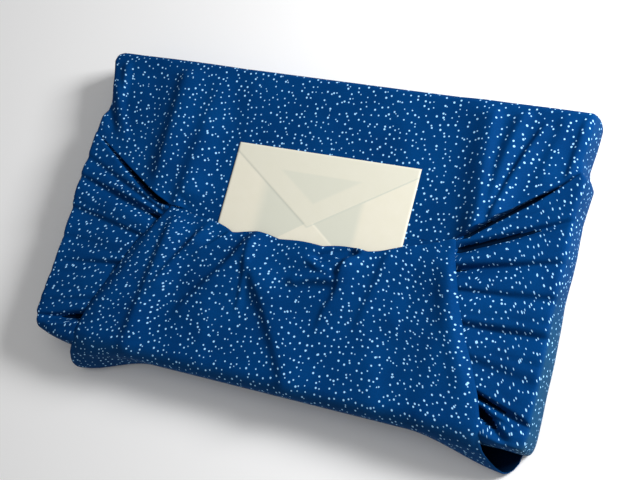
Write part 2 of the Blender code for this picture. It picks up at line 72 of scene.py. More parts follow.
def bell(distance, width):
    """exp(-(d/w)^2): 1 on a line, and nearly 0 two widths away."""
    return np.exp(-((distance / width) ** 2))


def read_off(value, table, key, column):
    """Straight lines between a table's rows: the value of one column at a value of the key column."""
    return np.interp(value, [getattr(row, key) for row in table], [getattr(row, column) for row in table])


print("a bell one and two widths away", bell(np.array([1.0, 2.0]), 1.0).round(2))

# %% One fold
# A line from (x0, y0) to (x1, y1), how far it bends aside, its widths, and its height at each end
Fold = namedtuple("Fold", "x0 y0 x1 y1 bow left right height0 height1")


def fold_height(x, y, fold):
    """A bell across a bowed line, with its own width on each side of the line. Its height changes evenly
    along it, and it fades past both ends. Left and right are as seen by someone who looks along +Y at a
    line that runs down."""
    run_x, run_y = fold.x1 - fold.x0, fold.y1 - fold.y0
    length = np.hypot(run_x, run_y)
    along = ((x - fold.x0) * run_x + (y - fold.y0) * run_y) / length**2
    share = np.clip(along, 0.0, 1.0)
    across = ((y - fold.y0) * run_x - (x - fold.x0) * run_y) / length
    across = across - fold.bow * 4.0 * share * (1.0 - share)
    height = fold.height0 + (fold.height1 - fold.height0) * share
    past_ends = bell((along - share) * length, fold.left + fold.right)
    return height * bell(across, np.where(across < 0.0, fold.left, fold.right)) * past_ends


# %% Small unevenness
def ripples(x, y, size, seed):
    """A sum of six sine waves in seeded directions, for the small unevenness that no cloth is free of."""
    random = np.random.default_rng(seed)
    total = np.zeros_like(x)
    for _ in range(6):
        turn, phase = random.uniform(0.0, 2.0 * np.pi, 2)
        wave = size * random.uniform(0.7, 1.6)
        total = total + np.sin((x * np.cos(turn) + y * np.sin(turn)) * 2.0 * np.pi / wave + phase)
    return total / 6.0


sample = ripples(np.arange(0.0, 400.0), np.zeros(400), 55.0, 3)
print("ripples run from", round(float(sample.min()), 2), "to", round(float(sample.max()), 2))

# %% [markdown]
# ## The parcel under the cloth
#
# The box has soft edges, and the cloth over its ends is not quite straight: the back corners stand out a
# little and the wings step in and out. Four short tables give the reach: one for each end, one for the
# back edge and one for the near edge.

# %% The parcel's sizes
# GAP is the air between the cloth and the envelope that lies on it
GAP = 0.45
HALF_LENGTH, BACK_Y, FRONT_Y = 216.0, 127.5, -131.0
TOP_Z = paper_low[2] - GAP
EDGE_DROP, SIDE_ROUND, BACK_ROUND, FRONT_ROUND = 5.5, 4.0, 5.0, 11.0
FRONT_LINE = FRONT_Y + FRONT_ROUND

# Along is the place along an edge, and out is how far the cloth reaches there
Reach = namedtuple("Reach", "along out")
LEFT_END = [
    Reach(-131, -218), Reach(-117, -222), Reach(-90, -220), Reach(-48, -217.5), Reach(5, -219),
    Reach(30, -216.5), Reach(66, -215.5), Reach(73, -212), Reach(88, -212), Reach(104, -216),
    Reach(118, -220), Reach(123, -218.5), Reach(127.5, -214),
]
RIGHT_END = [
    Reach(-131, 216.5), Reach(-60, 216.5), Reach(-20, 215), Reach(20, 216), Reach(45, 215),
    Reach(73, 217.5), Reach(79, 213), Reach(88, 211.5), Reach(108, 213.5), Reach(124, 214),
]
BACK_EDGE = [Reach(-216, 129), Reach(-60, 128.2), Reach(40, 127.3), Reach(216, 125.8)]
NEAR_EDGE = [
    Reach(-216, -126.5), Reach(-203, -130), Reach(-188, -133), Reach(-174, -134), Reach(-150, -132),
    Reach(216, -131),
]


def to_reach(x, y):
    """Moves the plain box's ends and edges to where the cloth really reaches: x or y plus what the table
    adds, times a smooth step that fades out towards the middle."""
    left, right = read_off(y, LEFT_END, "along", "out"), read_off(y, RIGHT_END, "along", "out")
    end = np.where(x < 0.0, left + HALF_LENGTH, right - HALF_LENGTH)
    near = smooth(-y, 60.0, -FRONT_Y) * (read_off(x, NEAR_EDGE, "along", "out") - FRONT_Y)
    back = smooth(y, 60.0, BACK_Y) * (read_off(x, BACK_EDGE, "along", "out") - BACK_Y)
    return x + smooth(np.abs(x), 150.0, HALF_LENGTH) * end, y + near + back


print("parcel", 2 * HALF_LENGTH, "x", BACK_Y - FRONT_Y, "x", round(float(TOP_Z), 2), "mm")

# %% [markdown]
# ## The gathered wings
#
# Each wing is pinched at its knot, so its pleats fan out from there to the parcel's end. A pleat is not a
# plain trough: it drops steeply on its back side, where the next layer lies over it, and climbs slowly on
# its near side. The table gives where each pleat meets the knot's column and the parcel's end, and how
# deep it is there.

# %% Knots and pleats
Knot = namedtuple("Knot", "x y")
LEFT_KNOT, RIGHT_KNOT = Knot(-118.0, -3.0), Knot(129.0, 11.0)
WING_LIFT, WING_CROWN, WING_MIDDLE, WING_STARTS, WING_FULL = 2.2, 1.5, 5.5, 92.0, 127.0

# Steep and slow are the widths of a pleat's back side and near side
Pleat = namedtuple("Pleat", "knot_y end_y knot_depth middle_depth end_depth steep slow")
LEFT_PLEATS = [
    Pleat(-3.0, 52.0, 0.0, 0.0, 0.0, 2.0, 5.0),
    Pleat(-16.6, 8.5, 8.0, 5.4, 2.2, 2.8, 6.0),
    Pleat(-38.0, -20.0, 2.6, 3.0, 2.6, 3.6, 9.0),
    Pleat(-56.0, -69.0, 7.5, 3.4, 0.4, 2.6, 5.0),
    Pleat(-84.5, -105.0, 2.6, 2.2, 1.0, 3.0, 4.2),
    Pleat(-96.0, -118.6, 10.0, 13.0, 0.0, 2.4, 4.0),
    Pleat(FRONT_LINE, FRONT_LINE, 0.0, 0.0, 0.0, 2.0, 4.0),
]
RIGHT_PLEATS = [
    Pleat(11.0, 80.5, 0.0, 0.0, 0.0, 2.0, 5.0),
    Pleat(8.0, 59.0, 0.2, 1.6, 1.0, 1.6, 2.4),
    Pleat(3.0, 41.0, 10.0, 8.0, 3.4, 2.6, 4.6),
    Pleat(-12.5, 7.5, 7.4, 5.0, 2.6, 2.8, 6.5),
    Pleat(-28.0, -20.0, 2.0, 2.2, 3.0, 2.4, 6.5),
    Pleat(-54.0, -50.0, 3.6, 4.4, 2.8, 3.6, 8.0),
    Pleat(-72.0, -85.0, 2.8, 2.8, 1.4, 4.6, 8.0),
    Pleat(-85.6, -112.8, 11.0, 11.0, 0.0, 1.8, 2.8),
    Pleat(-104.0, -117.0, 2.0, 3.0, 1.4, 1.8, 3.4),
    Pleat(FRONT_LINE, FRONT_LINE, 0.0, 0.0, 0.0, 2.0, 4.0),
]


# %% Rows that follow the pleats
def wing_shares(x):
    """How far x lies along each wing: (knot - x) / (knot - end), held between 0 and 1."""
    left = np.clip((LEFT_KNOT.x - x) / (LEFT_KNOT.x + HALF_LENGTH), 0.0, 1.0)
    right = np.clip((x - RIGHT_KNOT.x) / (HALF_LENGTH - RIGHT_KNOT.x), 0.0, 1.0)
    return left, right


def wing_row(pleats, share):
    """Where a row that follows the pleats crosses the knot's column and the parcel's end: share 0 is the
    back flap's edge, and share 1 the near edge."""
    knot = pleats[0].knot_y + share * (FRONT_LINE - pleats[0].knot_y)
    return knot, read_off(knot, pleats[::-1], "knot_y", "end_y")


def row_line(x, left_share, right_share):
    """The y of a row: straight along each wing, and straight from knot to knot between them."""
    left_knot, left_end = wing_row(LEFT_PLEATS, left_share)
    right_knot, right_end = wing_row(RIGHT_PLEATS, right_share)
    left, right = wing_shares(x)
    across = np.clip((x - LEFT_KNOT.x) / (RIGHT_KNOT.x - LEFT_KNOT.x), 0.0, 1.0)
    middle = left_knot + (right_knot - left_knot) * across
    return middle + left * (left_end - left_knot) + right * (right_end - right_knot)


def crowded_shares(pleats, count):
    """Shares of the rows on one wing. They crowd round the deep pleats: each row takes the same step of a
    sum of the way at the knot, the way at the end, and a bell for each pleat."""
    shares = np.linspace(0.0, 1.0, 2000)
    knot, end = wing_row(pleats, shares)
    travelled = (knot[0] - knot) + (end[0] - end)
    for pleat in pleats[1:-1]:
        deepest = max(pleat.knot_depth, pleat.middle_depth, pleat.end_depth)
        travelled = travelled + 3.0 * deepest * smooth(pleat.knot_y + 3.0 - knot, 0.0, 6.0)
    return np.interp(np.linspace(0.0, travelled[-1], count), travelled, shares)


print("the left wing's middle row ends at y", round(float(wing_row(LEFT_PLEATS, 0.5)[1]), 1))


# %% Small pleats between the main ones
def minor_pleats(pleats, count, seed):
    """Small pleats between the main ones, which no two wraps have alike: their places and depths are
    drawn."""
    random = np.random.default_rng(seed)
    drawn = []
    for share in np.sort(random.uniform(0.03, 0.95, count)):
        knot, end = wing_row(pleats, share)
        depths = random.uniform(0.3, 1.5, 3)
        end_y = float(end) + random.uniform(-4.0, 4.0)
        drawn.append(Pleat(knot, end_y, *depths, *random.uniform(1.2, 4.0, 2)))
    return drawn


LEFT_SMALL, RIGHT_SMALL = minor_pleats(LEFT_PLEATS, 12, 5), minor_pleats(RIGHT_PLEATS, 14, 9)
print(len(LEFT_SMALL), "small pleats on the left wing and", len(RIGHT_SMALL), "on the right one")


# %% The height of the pleats
def pleat_height(x, y):
    """A soft crown, less one skewed bell for each pleat: narrow on its back side and wide on its near
    side."""
    height = np.zeros_like(x)
    for share, pleats in zip(wing_shares(x), (LEFT_PLEATS + LEFT_SMALL, RIGHT_PLEATS + RIGHT_SMALL)):
        on_wing = smooth(share, 0.0, 0.07)
        height = height + WING_CROWN * on_wing
        for pleat in pleats:
            line = pleat.knot_y + share * (pleat.end_y - pleat.knot_y)
            depths = (pleat.knot_depth, pleat.middle_depth, pleat.end_depth)
            depth = np.interp(share, (0.0, 0.5, 1.0), depths)
            off = y - line
            height = height - depth * on_wing * bell(off, np.where(off > 0.0, pleat.steep, pleat.slow))
    return height


print(len(LEFT_PLEATS) - 2, "pleats on the left wing and", len(RIGHT_PLEATS) - 2, "on the right one")

# %% [markdown]
# ## The back flap and its folded edge
#
# Beside each knot the back flap's lower edge is folded under, so it stands over the wing and hides a dark
# slit. A height field can't hang over itself, so the rows beside the edge are also pushed sideways: the
# lip comes forward and the wing's first row goes back under it.

# %% Folds of the back flap
# The edge stands up by lip and the slit sinks by dip, from the knot's x to the end's x
Tuck = namedtuple("Tuck", "knot_x full_x fade_x end_x lip dip width")
TUCKS = [
    Tuck(-118.0, -136.0, -150.0, -224.0, 2.8, 14.0, 5.6),
    Tuck(129.0, 141.0, 178.0, 222.0, 3.4, 13.0, 3.4),
]
TUCK_HALF, LIP_REACH, OVERHANG = 0.7, 15.0, 5.5
# No slit is deeper than this, and below the second value its sides take the near-black material: painted
# shade
DEEPEST = -13.0
SLIT_PAINTED_SHADE_DEPTH = 2.8
BACK_FADE = (BACK_Y - 16.0, BACK_Y - 4.0)
BACK_FOLDS = [
    Fold(-137.5, 116, -136.0, 36, 0, 9.5, 17.0, 5.0, 7.0),
    Fold(-105.0, 90, -108, 8, 0, 9.5, 16.0, 3.6, 6.4),
    Fold(-203, 122, -198, 92, 0, 5.0, 2.4, 3.0, 2.6),
    Fold(-203, 90, -186, 58, 0, 8.0, 3.0, 3.4, 1.8),
    Fold(-213, 86, -201, 62, 0, 5.0, 4.0, -3.0, -2.4),
    Fold(-170, 108, -160, 30, 2, 8.0, 8.0, -0.6, -0.8),
    Fold(138.0, 116, 144.5, 28, -1, 13.0, 4.4, 4.6, 7.0),
    Fold(161.5, 115, 151.5, 42, -2, 7.0, 4.4, 4.6, 5.2),
    Fold(176, 101, 157, 38, -2, 3.0, 6.5, 4.2, 6.4),
    Fold(193, 115, 186, 76, 0, 6.0, 8.0, 3.0, 2.4),
    Fold(208, 117, 204.5, 77, 0, 2.6, 3.6, 2.6, 2.6),
    Fold(-75, 112, -70, 74, 0, 9.0, 9.0, 0.7, 0.6),
    Fold(60, 116, 70, 82, 0, 10.0, 10.0, 0.7, 0.6),
]
# The front flap's left and right sides on the parcel's top
Side = namedtuple("Side", "y left_x right_x")
FLAP_SIDES = [
    Side(-121.0, -174.5, 181.5),
    Side(-100.0, -168.5, 174.5),
    Side(-80.0, -160.0, 165.5),
    Side(-60.0, -151.0, 155.0),
    Side(-40.0, -141.5, 146.5),
    Side(-20.0, -128.5, 139.4),
    Side(-3.0, -118.0, 133.8),
    Side(11.0, -111.0, 130.8),
]


# %% Where the flap and the wings lie
def flap_inside(x, y):
    """How far inside the front flap's slanting sides a point lies."""
    left, right = read_off(y, FLAP_SIDES, "y", "left_x"), read_off(y, FLAP_SIDES, "y", "right_x")
    return np.minimum(x - left, right - x)


def tuck_strength(x, name):
    """A column of the folded edge's table at x: it grows from the knot, stays, and fades towards the
    end."""
    total = np.zeros_like(x)
    for tuck in TUCKS:
        way = np.sign(tuck.knot_x)
        grow = smooth(x * way, tuck.knot_x * way - 2.0, tuck.full_x * way)
        fade = smooth(x * way, tuck.fade_x * way, tuck.end_x * way)
        total = total + getattr(tuck, name) * grow * (1.0 - fade)
    return total


def wing_lift(x):
    """0 over the middle of the parcel and 1 over the wings' folded layers."""
    return smooth(np.abs(x - WING_MIDDLE), WING_STARTS, WING_FULL)


print("the wings are folded beyond", WING_MIDDLE + WING_STARTS, "mm on the right")

# %% The height of the cloth
# The small pockets and ridges of the wings' near corners
NEAR_FOLDS = [
    Fold(180, -112.0, 197, -124.0, 0, 3.4, 3.0, -12.0, -6.0),
    Fold(184, -108.5, 208, -117, 0, 2.0, 2.2, 1.2, 1.6),
    Fold(187, -127, 208, -130, 0, 2.4, 2.4, 2.6, 2.0),
    Fold(-204, -123, -178, -117.5, 0, 2.2, 2.2, 1.6, 1.4),
]
BODY_RIPPLES = ((55.0, 3), (17.0, 4))


def body_height(x, y):
    """Back flap above its edge, pleated wings below it, blended in a narrow step at the edge. The dark
    slit under the edge has a flat bottom, -dip * exp(-(above/width)^4), so that its far side is as steep
    as a real fold's. Between the knots the back flap's folds fade towards its edge, because the front
    flap presses them flat there."""
    above = y - row_line(x, 0.0, 0.0)
    wings = WING_LIFT * wing_lift(x)
    lip = tuck_strength(x, "lip")
    beside_knots = smooth(np.abs(x - WING_MIDDLE), 110.0, 122.0)
    relief = sum(fold_height(x, y, fold) for fold in BACK_FOLDS)
    relief = relief * np.maximum(beside_knots, smooth(above, 0.0, 16.0))
    relief = relief + lip * np.exp(-np.clip(above, 0.0, None) / LIP_REACH)
    back = wings + relief * (1.0 - smooth(y, *BACK_FADE))
    covered = smooth(np.minimum(flap_inside(x, y), -above), 2.0, 14.0)
    slit_width = 1.0 + tuck_strength(x, "width")
    slit = tuck_strength(x, "dip") * bell(np.clip(above, None, 0.0) ** 2, slit_width**2)
    relief = pleat_height(x, y) - slit
    for fold in NEAR_FOLDS:
        relief = relief + fold_height(x, y, fold)
    front = wings + relief * (1.0 - covered)
    height = front + (back - front) * smooth(above, -TUCK_HALF, TUCK_HALF)
    uneven = (0.3 + 0.9 * wing_lift(x)) * ripples(x, y, *BODY_RIPPLES[0])
    uneven = uneven + 0.14 * ripples(x, y, *BODY_RIPPLES[1])
    return TOP_Z + np.maximum(height + uneven, DEEPEST * wing_lift(x))


print(len(BACK_FOLDS), "folds on the back flap")

# %% [markdown]
# ## From a height field to a closed cloth
#
# The top is a grid whose rows follow the pleats, so that a crease runs along the mesh and stays crisp.
# Its outer rows and columns curve down over the edges, rings carry it down the walls, and a fan closes
# the underside. The same recipe with plain heights makes the inner side of the cloth, turned to look
# inwards.

# %% A parcel-shaped surface
# Share is how far down the wall a level lies, and out is how far the cloth bulges there
Level = namedtuple("Level", "share out")
WALL = [
    Level(0.0, 0.0), Level(0.12, 0.9), Level(0.3, 1.5), Level(0.5, 1.6), Level(0.7, 1.3),
    Level(0.86, 0.7), Level(0.94, 0.1), Level(0.985, -1.0), Level(1.0, -2.4),
]


def grid_faces(index):
    """Quads of a grid of point numbers, looking up where the rows run towards +Y and the columns towards
    +X."""
    quads = np.stack([index[:-1, :-1], index[:-1, 1:], index[1:, 1:], index[1:, :-1]], axis=2)
    return quads.reshape(-1, 4)


def loop_of(index):
    """The outer point numbers of a grid, in order round it."""
    return np.concatenate([index[0, :-1], index[:-1, -1], index[-1, :0:-1], index[:0:-1, 0]])


def band_faces(upper, lower):
    """Quads between two closed loops of points that run anticlockwise, seen from the upper one."""
    return np.stack([np.roll(upper, -1), upper, lower, np.roll(lower, -1)], axis=1)


print("a grid of 3 by 3 points makes", len(grid_faces(np.arange(9).reshape(3, 3))), "quads")


# %% The rounded outline
def rounded_plan(x, y, inset):
    """The square-to-disc map u*sqrt(1 - v*v/2) at the corners, and how far over the edge each point
    is."""
    side = SIDE_ROUND - inset
    end = np.where(y > 0.0, BACK_Y, -FRONT_Y) - inset
    rounding = np.where(y > 0.0, BACK_ROUND, FRONT_ROUND) - inset
    over_x = np.clip((np.abs(x) - (HALF_LENGTH - inset - side)) / side, 0.0, 1.0)
    over_y = np.clip((np.abs(y) - (end - rounding)) / rounding, 0.0, 1.0)
    new_x = x + np.sign(x) * side * over_x * (np.sqrt(1.0 - over_y**2 / 2.0) - 1.0)
    new_y = y + np.sign(y) * rounding * over_y * (np.sqrt(1.0 - over_x**2 / 2.0) - 1.0)
    return new_x, new_y, np.sqrt(np.clip(over_x**2 + over_y**2 - (over_x * over_y) ** 2, 0.0, 1.0))


# Wrong lists the blocks of faces that take the near-black second material: the cloth's wrong side, and
# painted shade deep in the slits.
# Stretch is how much painted sheen greys each point
Shell = namedtuple("Shell", "points faces uv wrong stretch")


def wall_painted_sheen(x, y):
    """How much painted sheen greys the walls: most on the right end's near half, a little elsewhere."""
    return 0.25 + 0.75 * smooth(x, 205.0, 213.0) * smooth(-y, 0.0, 50.0)


print("the wall levels run from", WALL[0].share, "to", WALL[-1].share)


# %% The shell
WALL_PULL, WALL_RIPPLES = 0.9, (34.0, 8)


def parcel_shell(columns, rows, flat, height, inset, shift):
    """Top grid, rounded edges, walls and underside. Flat holds the cloth's own x and y for each point of
    the grid, and its y is the length run along each column, so that the print isn't smeared over a fold's
    steep side."""
    x, y = np.broadcast_to(columns, rows.shape), rows
    new_x, new_y, over = rounded_plan(x, y, inset)
    new_x, new_y = to_reach(new_x, new_y)
    drop = (EDGE_DROP - inset) * (1.0 - np.sqrt(np.clip(1.0 - over**2, 0.0, 1.0)))
    z = height(new_x, new_y)
    top = np.stack([new_x, new_y + shift, z - drop], axis=2)
    steps = np.linalg.norm(np.diff(top, axis=0), axis=2)
    run = np.pad(steps.cumsum(axis=0), ((1, 0), (0, 0)))
    flat = np.stack([flat[:, :, 0], flat[:1, :, 1] - run], axis=2)
    top = top.reshape(-1, 3)
    index = np.arange(rows.size).reshape(rows.shape)
    quads = grid_faces(index)[:, ::-1]
    # Faces deep in a slit take the near-black material: painted shade
    deep = top[quads, 2].mean(axis=1) < TOP_Z - SLIT_PAINTED_SHADE_DEPTH
    deep = deep & (over.ravel()[quads].max(axis=1) == 0.0)
    loop = loop_of(index)
    rim, rim_uv = top[loop], flat.reshape(-1, 2)[loop]
    along = np.roll(rim, -1, axis=0) - np.roll(rim, 1, axis=0)
    outward = np.stack([-along[:, 1], along[:, 0]], axis=1)
    outward = outward / np.linalg.norm(outward, axis=1, keepdims=True)
    faces, points, uv = [quads[deep], quads[~deep]], [top], [flat.reshape(-1, 2)]
    # Painted sheen: the rounded edges and the walls are greyed, most on the right end's near half
    stretch = [(over**3 * wall_painted_sheen(new_x, new_y)).ravel()]
    shares = np.linspace(0.0, 1.0, 15 if inset == 0.0 else 5)[1:]
    for share in np.append(shares[:-1], [0.985, 1.0]):
        ring, ring_uv = rim.copy(), rim_uv.copy()
        out = read_off(share, WALL, "share", "out")
        pull = WALL_PULL * ripples(rim[:, 0], rim[:, 1], *WALL_RIPPLES) * np.sin(np.pi * share)
        pull = pull * (inset == 0.0)
        ring[:, :2] += outward * (out + pull)[:, None]
        ring[:, 2] = inset + (rim[:, 2] - inset) * (1.0 - share)
        ring_uv += outward * (rim[:, 2] * share)[:, None]
        lower = np.arange(loop.size) + sum(len(part) for part in points)
        faces.append(band_faces(loop[::-1], lower[::-1]))
        points.append(ring)
        uv.append(ring_uv)
        stretch.append(wall_painted_sheen(ring[:, 0], ring[:, 1]))
        loop = lower
    middle = sum(len(part) for part in points)
    points.append(np.array([[0.0, 0.0, inset]]))
    uv.append(np.array([[0.0, 0.0]]))
    stretch.append(np.array([0.0]))
    fan = np.stack([loop, np.roll(loop, -1), np.full_like(loop, middle)], axis=1)
    return Shell(np.concatenate(points), [*faces, fan], np.concatenate(uv), (0,), np.concatenate(stretch))


# %% [markdown]
# The grid has to be finest where the cloth turns sharply. So its rows crowd beside the folded edge and
# round the deep pleats, and its first and last lines stand at equal angles over the rounded edges. An
# even grid would need several times as many faces for the same creases.

# %% The outside of the wrapped parcel
WING_ROWS = 128


def over_edge(half, rounding, inset, count):
    """Grid lines over a rounded edge at equal angles: half - rounding + (rounding - inset) *
    sin(angle)."""
    return half - rounding + (rounding - inset) * np.sin(np.linspace(0.0, np.pi / 2.0, count + 1)[1:])


def outer_shell():
    """The fine grid of the cloth's outside, with the overhang beside the back flap's folded edge: rows at
    a distance d from the edge move by -c*d*exp(-d*d), so the lip comes forward and the slit's first rows
    go back under it."""
    quarter = np.pi / 2.0
    side_arc = quarter * (SIDE_ROUND + EDGE_DROP) / 2.0 * np.linspace(0.0, 1.0, 7)[1:]
    front_arc = quarter * (FRONT_ROUND + EDGE_DROP) / 2.0 * np.linspace(0.0, 1.0, 9)[1:]
    edge = over_edge(HALF_LENGTH, SIDE_ROUND, 0.0, 6)
    inner = np.linspace(SIDE_ROUND - HALF_LENGTH + 1.0, HALF_LENGTH - SIDE_ROUND - 1.0, 200)
    columns = np.concatenate([-edge[::-1], inner, edge])
    flat_edge = HALF_LENGTH - SIDE_ROUND + side_arc
    flat_x = np.concatenate([-flat_edge[::-1], inner, flat_edge])
    level = np.ones_like(columns)
    tuck = row_line(columns, 0.0, 0.0)
    back_start = BACK_Y - BACK_ROUND
    strength = tuck_strength(columns, "dip") / TUCKS[0].dip
    still = np.zeros_like(columns)
    rows = [(y * level, (back_start + arc) * level, still)
            for y, arc in zip(over_edge(BACK_Y, BACK_ROUND, 0.0, 6)[::-1], side_arc[::-1])]
    near_tuck = [4.0, 3.0, 2.2, 1.6, 1.1, 0.7, 0.35, 0.0, -0.35, -0.7, -1.1, -1.6, -2.2, -3.0]
    for share in np.linspace(1.0, 0.0, 50)[:-1]:
        line = tuck + near_tuck[0] + (back_start - tuck - near_tuck[0]) * share
        rows.append((line, line, still))
    for off in near_tuck:
        rows.append((tuck + off, tuck + off, -OVERHANG * strength * off * np.exp(-(off**2))))
    left_shares = crowded_shares(LEFT_PLEATS, WING_ROWS)
    right_shares = crowded_shares(RIGHT_PLEATS, WING_ROWS)
    for left_share, right_share in zip(left_shares[1:], right_shares[1:]):
        off = near_tuck[-1] * np.exp(-left_share / 0.03)
        line = row_line(columns, left_share, right_share) + off * (1.0 - left_share)
        rows.append((line, line, still))
    for y, arc in zip(over_edge(-FRONT_Y, FRONT_ROUND, 0.0, 8), front_arc):
        rows.append((-y * level, (FRONT_LINE - arc) * level, still))
    lines, flat_rows, pushes = (np.array(part) for part in zip(*rows))
    flat = np.stack([np.broadcast_to(flat_x, lines.shape), flat_rows], axis=2)
    return parcel_shell(columns, lines, flat, body_height, 0.0, pushes)


# %% The inner side of the cloth
def inner_shell():
    """The coarse inner side of the cloth, 1.6 mm inside the outer one and looking into the parcel's
    room."""
    inset = 1.6
    columns = np.linspace(-211.0, 211.0, 41)
    back, near = over_edge(BACK_Y, BACK_ROUND, inset, 4), over_edge(-FRONT_Y, FRONT_ROUND, inset, 4)
    lines = np.concatenate([back[::-1], np.linspace(BACK_Y - 2.0 * BACK_ROUND, FRONT_LINE, 30), -near])
    rows = np.repeat(lines[:, None], columns.size, axis=1)
    flat = np.stack([np.broadcast_to(columns, rows.shape), rows], axis=2)

    def plain_height(x, _):
        """The top, less the cloth's thickness, and lower under the wings' folds."""
        return TOP_Z - inset + DEEPEST * wing_lift(x)

    plain = parcel_shell(columns, rows, flat, plain_height, inset, 0.0)
    turned = [part[:, ::-1] for part in plain.faces]
    # Every face of it takes the near-black material: the wrong side, painted dark as shade
    return Shell(plain.points, turned, plain.uv, range(len(turned)), plain.stretch)


outside, inside = outer_shell(), inner_shell()
print("outside", len(outside.points), "points; inner side", len(inside.points))

# %% [markdown]
# ## The front flap
#
# The front flap is the same cloth. It starts under the near edge, stands off at its two corners, turns
# over the top and ends in a scalloped hem. It is a strip of rows carried along that path, each row
# running from the flap's left side to its right side, and it gets its thickness from the rows' own
# normals.

# %% The flap's hem, sides and folds
# A scallop starts at a low point and rises by rise towards the next one
Scallop = namedtuple("Scallop", "x y rise")
HEM = [
    Scallop(-118.0, -3.0, -0.5),
    Scallop(-73.0, -9.5, 0.8),
    Scallop(-54.0, -16.0, 3.4),
    Scallop(-12.0, -14.2, 1.2),
    Scallop(27.0, -13.6, 2.2),
    Scallop(65.0, -11.4, -0.6),
    Scallop(91.0, -2.5, -0.6),
    Scallop(129.0, 11.0, 0.0),
]
FRONT_FOLDS = [
    Fold(133.5, -16, 161, -88, -2, 9.0, 3.6, 4.2, 2.4),
    Fold(-110, -28, -120.5, -106, 0, 6.0, 11.0, 6.6, 4.0),
    Fold(-86, -30, -106, -66, -1, 4.0, 9.0, 6.8, 4.0),
    Fold(-57, -18, -78, -38, 0, 2.2, 3.4, 3.4, 2.2),
    Fold(-36, -22, -76, -78, 2, 5.4, 12.0, 6.8, 3.6),
    Fold(-33, -24, -32.5, -72, 0, 2.0, 3.4, 2.2, 1.6),
    Fold(-22, -50, 20, -114, 1, 6.0, 18.0, 5.2, 3.2),
    Fold(18, -25, 62, -18, 0, 12.0, 12.0, 2.6, 2.6),
    Fold(29, -21.5, 53, -15.0, 1, 3.2, 2.8, -10.0, -9.0),
    Fold(24, -28, 38, -32.5, -1, 2.8, 2.8, 2.6, 2.4),
    Fold(13, -44.5, 40, -38.5, 1, 3.6, 4.0, 4.2, 5.0),
    Fold(57, -12, 50.5, -28, 0, 2.8, 8.0, 3.8, 3.4),
    Fold(49.5, -30, 43, -62, 3, 3.4, 14.0, 4.0, 2.4),
    Fold(82, -17, 73, -64, 0, 4.0, 8.0, 2.0, 1.4),
    Fold(-120, -8, -160, -96, 2, 3.4, 11.0, 2.0, 1.6),
    Fold(-60, -86, -54, -118, 0, 8.0, 8.0, 1.0, 0.8),
    Fold(84, -84, 96, -118, 0, 9.0, 9.0, 1.0, 1.0),
]
FLAP_THICKNESS = 1.1
SIDE_SINKS = 0.35
FLAP_TURN_Y, FLAP_TURN_REACH, FLAP_TURN_DROP, FLAP_LOFT, FLAP_EDGE = -121.0, 12.9, 12.0, 1.6, 0.3
# Out is how far a level lies in front of the turn's middle, and share how much of the flare it has
FlapLevel = namedtuple("FlapLevel", "z out left_x right_x share")
FLAP_LEVELS = [
    FlapLevel(0.9, 2.0, -203.0, 209.0, 0.0),
    FlapLevel(0.9, 8.0, -200.0, 208.5, 0.0),
    FlapLevel(1.2, 11.8, -190.0, 207.0, 0.4),
    FlapLevel(1.9, 12.4, -186.0, 204.0, 0.75),
    FlapLevel(3.2, 12.7, -182.5, 201.0, 0.93),
    FlapLevel(5.2, 12.85, -183.0, 199.0, 0.99),
    FlapLevel(7.5, 12.9, -183.5, 198.0, 1.0),
    FlapLevel(11.0, 12.9, -183.9, 195.6, 0.95),
    FlapLevel(14.5, 12.9, -184.0, 193.5, 0.88),
    FlapLevel(18.0, 12.9, -183.6, 191.5, 0.78),
    FlapLevel(21.0, 12.9, -183.0, 189.5, 0.68),
    FlapLevel(24.0, 12.9, -182.0, 188.0, 0.56),
]
FLAP_TURN_LEVEL = FlapLevel(27.0, 12.9, -181.0, 186.5, 0.45)
FLAP_RIPPLES, LOFT_SOFTNESS = ((60.0, 11), (18.0, 12)), 0.35
print(len(FRONT_FOLDS), "folds and", len(HEM) - 1, "scallops on the front flap")


# %% The flap's shape
def flare(x):
    """How far the flap's corners stand out: 17 mm on the left and 15 mm on the right, each fading
    inwards."""
    return 17.0 * smooth(-x, 112.0, 183.0) + 15.0 * smooth(x, 118.0, 206.0)


def hem_line(x):
    """Straight from one low point to the next, plus half a sine wave for each scallop."""
    line = read_off(x, HEM, "x", "y")
    for scallop, following in zip(HEM, HEM[1:]):
        share = np.clip((x - scallop.x) / (following.x - scallop.x), 0.0, 1.0)
        line = line + scallop.rise * np.sin(np.pi * share)
    return line


def flap_height(x, y):
    """Clear of the wings and of the envelope, plus a loft that is lower at the hem and the sides, plus
    the folds. The loft is log(1 + exp(loft/s)) * s, so that it never goes below 0."""
    inside = flap_inside(x, y)
    past_knot = smooth(np.abs(x - WING_MIDDLE), 116.0, 134.0)
    over_wings = (WING_LIFT + (WING_CROWN + 0.2) * past_knot) * wing_lift(x)
    off_sides = np.abs(x - (paper_low[0] + paper_high[0]) / 2.0) - (paper_high[0] - paper_low[0]) / 2.0
    off_envelope = np.maximum(off_sides, paper_low[1] - y)
    over_envelope = (GAP + paper_high[2] - paper_low[2]) * (1.0 - smooth(off_envelope, 2.0, 22.0))
    to_edge = smooth(inside, 0.0, 16.0)
    to_hem = FLAP_EDGE + (1.0 - FLAP_EDGE) * smooth(hem_line(x) - y, 0.0, 18.0)
    loft = FLAP_LOFT * to_edge * to_hem
    for fold in FRONT_FOLDS:
        loft = loft + fold_height(x, y, fold) * smooth(inside, -1.0, 2.5)
    loft = loft + 1.3 * ripples(x, y, *FLAP_RIPPLES[0]) * to_edge + 0.12 * ripples(x, y, *FLAP_RIPPLES[1])
    clear = GAP + FLAP_THICKNESS / 2.0
    sunk = (clear + SIDE_SINKS) * (1.0 - smooth(inside, 0.0, 4.0)) * wing_lift(x)
    lowest = TOP_Z + clear + np.maximum(over_wings, over_envelope) - sunk
    return lowest + np.logaddexp(0.0, loft / LOFT_SOFTNESS) * LOFT_SOFTNESS


